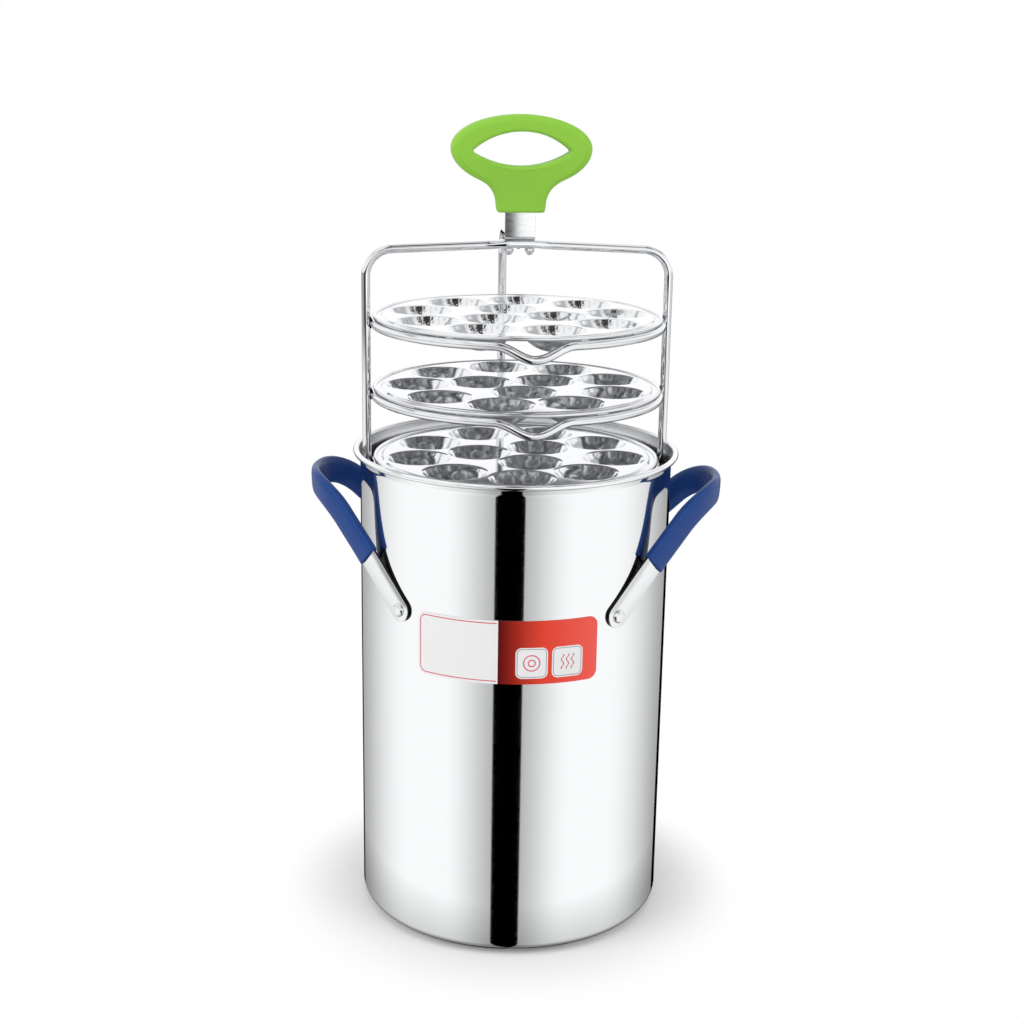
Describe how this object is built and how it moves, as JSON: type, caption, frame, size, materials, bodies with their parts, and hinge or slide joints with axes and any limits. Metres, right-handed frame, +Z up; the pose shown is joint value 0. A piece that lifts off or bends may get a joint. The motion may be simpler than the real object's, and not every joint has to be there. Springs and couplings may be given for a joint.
{
  "type": "stovetop steamer",
  "caption": "Tall round steel steamer pot with two side handles and a lift-out wire rack carrying stacked plates of small steaming cups.",
  "frame": {"origin": "on the ground, under the middle of the pot's base", "axes": "+Z up, +X through the right side handle, -Y towards the label and the front"},
  "size_m": [0.2782, 0.2192, 0.5442],
  "materials": {
    "pot_steel": "mirror-polished stainless steel",
    "base_steel": "spun, satin stainless steel",
    "label_film": "printed glossy film",
    "strap_steel": "polished stainless steel strip",
    "blue_silicone": "satin moulded silicone",
    "rivet_steel": "polished stainless steel",
    "wire_steel": "electropolished stainless steel wire",
    "plate_steel": "pressed, polished stainless steel sheet",
    "screw_steel": "plated machine screws and dome nuts",
    "green_silicone": "satin moulded silicone"
  },
  "bodies": {
    "pot": {"pot_shell": "pot_steel", "base_disc": "base_steel", "label_sticker": "label_film", "left_handle_strap": "strap_steel", "right_handle_strap": "strap_steel", "left_handle_sleeve": "blue_silicone", "right_handle_sleeve": "blue_silicone", "left_front_rivet": "rivet_steel", "left_rear_rivet": "rivet_steel", "right_front_rivet": "rivet_steel", "right_rear_rivet": "rivet_steel"},
    "rack": {"rack_hoop": "wire_steel", "rack_back_leg": "wire_steel", "top_ring": "wire_steel", "middle_ring": "wire_steel", "bottom_ring": "wire_steel", "lift_strap": "strap_steel", "left_screw": "screw_steel", "right_screw": "screw_steel", "left_dome_nut": "screw_steel", "right_dome_nut": "screw_steel", "lift_grip": "green_silicone"},
    "plate_top": {"top_plate": "plate_steel"},
    "plate_middle": {"middle_plate": "plate_steel"},
    "plate_bottom": {"bottom_plate": "plate_steel"}
  },
  "joints": [
    {"name": "rack_lift", "type": "slide", "parent": "pot", "child": "rack", "axis": [0, 0, 1], "range_m": [-0.2433, 0.1]},
    {"name": "top_plate_lift", "type": "slide", "parent": "rack", "child": "plate_top", "axis": [0, 0, 1], "range_m": [0, 0.025]},
    {"name": "middle_plate_lift", "type": "slide", "parent": "rack", "child": "plate_middle", "axis": [0, 0, 1], "range_m": [0, 0.025]},
    {"name": "bottom_plate_lift", "type": "slide", "parent": "rack", "child": "plate_bottom", "axis": [0, 0, 1], "range_m": [0, 0.025]}
  ]
}
